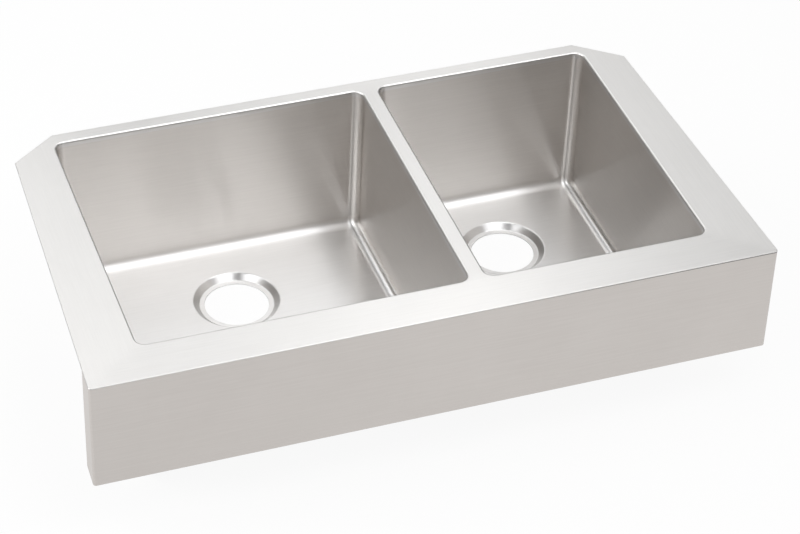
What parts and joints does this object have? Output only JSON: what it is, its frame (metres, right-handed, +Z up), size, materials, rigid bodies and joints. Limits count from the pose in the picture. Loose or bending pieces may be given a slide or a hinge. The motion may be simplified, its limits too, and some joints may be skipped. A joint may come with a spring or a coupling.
{
  "type": "farmhouse apron front sink",
  "caption": "Stainless farmhouse apron front sink with a wide left bowl, a narrow right bowl, open drain holes and clipped back corners.",
  "frame": {"origin": "centre of the footprint (deck width by deck depth) at the height of the lowest point, the underside of the drain recesses", "axes": "+X to the right along the apron, +Y from the apron to the back wall, +Z up"},
  "size_m": [0.9106, 0.516, 0.2345],
  "materials": {
    "deck_steel": "satin brushed, front to back at the sides and along the front strip",
    "apron_steel": "satin, brushed along its length",
    "bowl_steel": "satin drawn steel with soft brushing",
    "weld_steel": "as welded, slightly heat tinted",
    "brace_steel": "mill finish strip",
    "damping_mat": "matt moulded damping sheet"
  },
  "bodies": {
    "root": {"deck_plate": "deck_steel", "apron_panel": "apron_steel", "left_bowl": "bowl_steel", "right_bowl": "bowl_steel", "left_bowl_rim_weld": "weld_steel", "right_bowl_rim_weld": "weld_steel", "apron_seam_weld": "weld_steel", "outer_left_brace": "brace_steel", "inner_left_brace": "brace_steel", "inner_right_brace": "brace_steel", "outer_right_brace": "brace_steel", "left_bowl_front_mat": "damping_mat", "left_bowl_back_mat": "damping_mat", "left_bowl_side_mat": "damping_mat", "left_bowl_divider_mat": "damping_mat", "right_bowl_front_mat": "damping_mat", "right_bowl_back_mat": "damping_mat", "right_bowl_side_mat": "damping_mat", "right_bowl_divider_mat": "damping_mat", "left_bowl_floor_mat": "damping_mat", "right_bowl_floor_mat": "damping_mat", "apron_mat": "damping_mat"}
  },
  "joints": []
}
